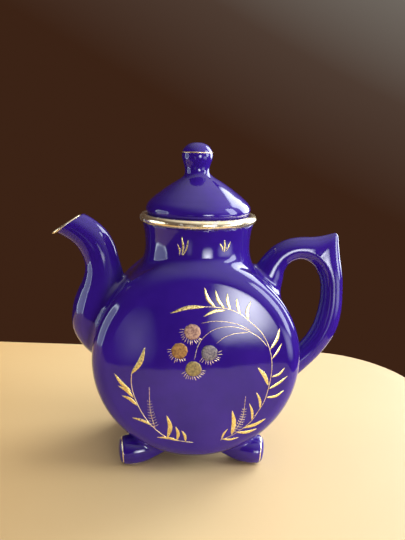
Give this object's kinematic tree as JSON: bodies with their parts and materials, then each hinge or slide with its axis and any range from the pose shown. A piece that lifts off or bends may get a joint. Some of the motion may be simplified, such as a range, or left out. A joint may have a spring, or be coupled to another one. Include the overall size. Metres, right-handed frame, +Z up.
{
  "type": "teapot",
  "caption": "Flask-shaped lidded teapot: flat round body on stub feet, waisted neck with gilded rim, swan-neck spout, ear handle with thumb spur, and a lift-off domed lid with a ball knob.",
  "frame": {"origin": "on the table under the middle of the pot, midway between the spout's tip and the handle's outside; the neck's axis stands 3.6 mm towards the spout from it", "axes": "+Z up, +X towards the handle, -X towards the spout, -Y the decorated front face"},
  "size_m": [0.2178, 0.1028, 0.2352],
  "materials": {
    "flask_body": "deep cobalt-blue glossy glaze",
    "neck": "deep cobalt-blue glossy glaze",
    "mouth_rim": "bright fired gilding over porcelain, slightly rubbed",
    "spout": "deep cobalt-blue glossy glaze",
    "spout_lip": "bright fired gilding over porcelain, slightly rubbed",
    "handle": "deep cobalt-blue glossy glaze",
    "foot_front_left": "deep cobalt-blue glossy glaze",
    "foot_front_right": "deep cobalt-blue glossy glaze",
    "foot_back_left": "deep cobalt-blue glossy glaze",
    "foot_back_right": "deep cobalt-blue glossy glaze",
    "lid_dome": "deep cobalt-blue glossy glaze",
    "lid_flange": "deep cobalt-blue glossy glaze",
    "lid_knob": "deep cobalt-blue glossy glaze"
  },
  "bodies": {
    "pot": {"flask_body": "flask_body", "neck": "neck", "mouth_rim": "mouth_rim", "spout": "spout", "spout_lip": "spout_lip", "handle": "handle", "foot_front_left": "foot_front_left", "foot_front_right": "foot_front_right", "foot_back_left": "foot_back_left", "foot_back_right": "foot_back_right"},
    "lid": {"lid_dome": "lid_dome", "lid_flange": "lid_flange", "lid_knob": "lid_knob"}
  },
  "joints": [
    {"name": "lid_lift", "type": "slide", "parent": "pot", "child": "lid", "axis": [0, 0, 1], "range_m": [0, 0.06]}
  ]
}
